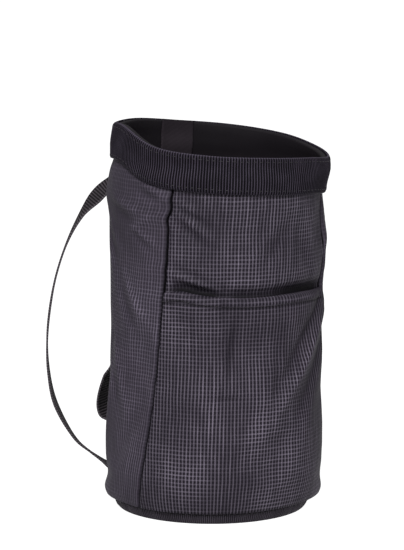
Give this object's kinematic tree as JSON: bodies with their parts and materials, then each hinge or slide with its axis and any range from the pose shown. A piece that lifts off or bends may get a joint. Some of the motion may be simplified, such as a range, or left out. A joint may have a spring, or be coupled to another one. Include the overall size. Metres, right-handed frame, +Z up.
{
  "type": "climbing chalk bag",
  "caption": "Round soft sack with a webbing rim, a front patch pocket, a cloth lining, a hanging webbing strap and a brush loop.",
  "frame": {"origin": "centre of the base's underside, on the surface that the bag stands on", "axes": "+Z up out of the mouth; -Y out of the middle of the front pocket; +X to the pocket's right as seen from the front"},
  "size_m": [0.1394, 0.1264, 0.2059],
  "materials": {
    "base_disc": "coarse woven, matt",
    "base_binding": "ribbed woven tape, matt",
    "front_panel": "fine ripstop weave, slight sheen",
    "back_panel": "fine ripstop weave, slight sheen",
    "pocket": "fine ripstop weave, slight sheen",
    "rim_band": "ribbed webbing, matt",
    "lining": "smooth cloth, slight sheen",
    "back_tape": "woven tape, matt",
    "strap": "ribbed webbing, matt",
    "brush_loop": "woven tape, matt"
  },
  "bodies": {
    "root": {"base_disc": "base_disc", "base_binding": "base_binding", "front_panel": "front_panel", "back_panel": "back_panel", "pocket": "pocket", "rim_band": "rim_band", "lining": "lining", "back_tape": "back_tape", "strap": "strap", "brush_loop": "brush_loop"}
  },
  "joints": []
}
